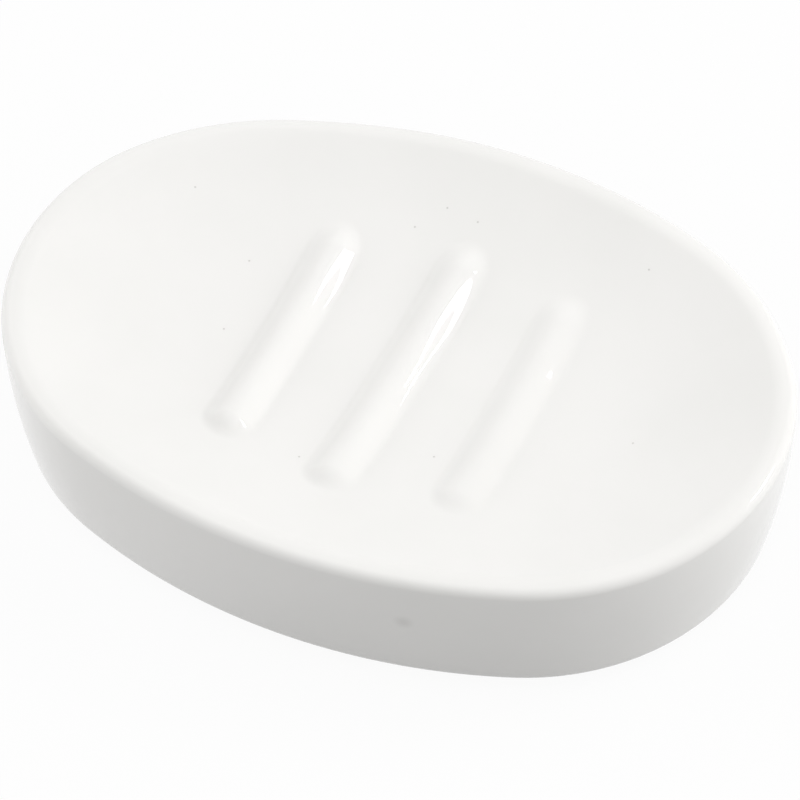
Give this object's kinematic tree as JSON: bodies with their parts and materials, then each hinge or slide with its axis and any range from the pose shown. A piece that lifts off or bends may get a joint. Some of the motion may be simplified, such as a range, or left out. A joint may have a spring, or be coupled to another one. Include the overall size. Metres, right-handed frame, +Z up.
{
  "type": "soap dish",
  "caption": "Oval glazed ceramic soap dish: a shallow basin with raised parallel ribs that lift the soap, a rounded rim, and soft non-slip pads under the foot ring.",
  "frame": {"origin": "under the middle of the dish, on the plane that it stands on", "axes": "+X along the dish's length, +Y across it and along the ribs, +Z up out of the basin"},
  "size_m": [0.13, 0.094, 0.0253],
  "materials": {
    "ceramic": "white gloss glaze over a white clay body, bare clay on the foot ring's flat land",
    "pads": "soft translucent silicone, satin"
  },
  "bodies": {
    "root": {"dish_body": "ceramic", "non_slip_pad_1": "pads", "non_slip_pad_2": "pads", "non_slip_pad_3": "pads", "non_slip_pad_4": "pads"}
  },
  "joints": []
}
